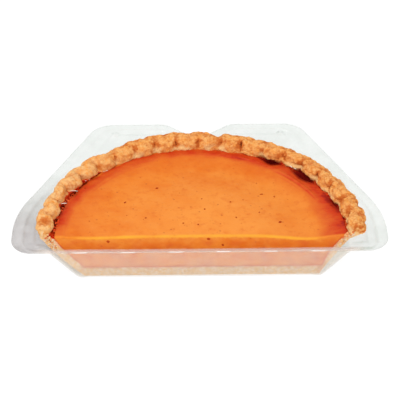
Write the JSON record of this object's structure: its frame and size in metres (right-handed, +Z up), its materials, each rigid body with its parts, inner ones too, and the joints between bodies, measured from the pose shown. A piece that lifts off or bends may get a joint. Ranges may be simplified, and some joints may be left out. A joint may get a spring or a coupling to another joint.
{
  "type": "half pumpkin pie in a clear tray",
  "caption": "Half of a round pumpkin pie, cut straight across, with a crimped crust rim and smooth filling, in a clear formed tray with a wide flange.",
  "frame": {"origin": "on the surface it stands on, below the middle of the tray's outline", "axes": "+X along the cut, to the right as seen from the cut; +Y away from the cut, towards the crust's far side; +Z up"},
  "size_m": [0.2488, 0.143, 0.0439],
  "materials": {
    "crust": "baked pastry, dry and crumbly, golden brown",
    "filling": "set pumpkin custard with a soft sheen",
    "tray": "clear formed plastic, glossy"
  },
  "bodies": {
    "root": {"crust": "crust", "pumpkin_filling": "filling", "clear_tray": "tray"}
  },
  "joints": []
}
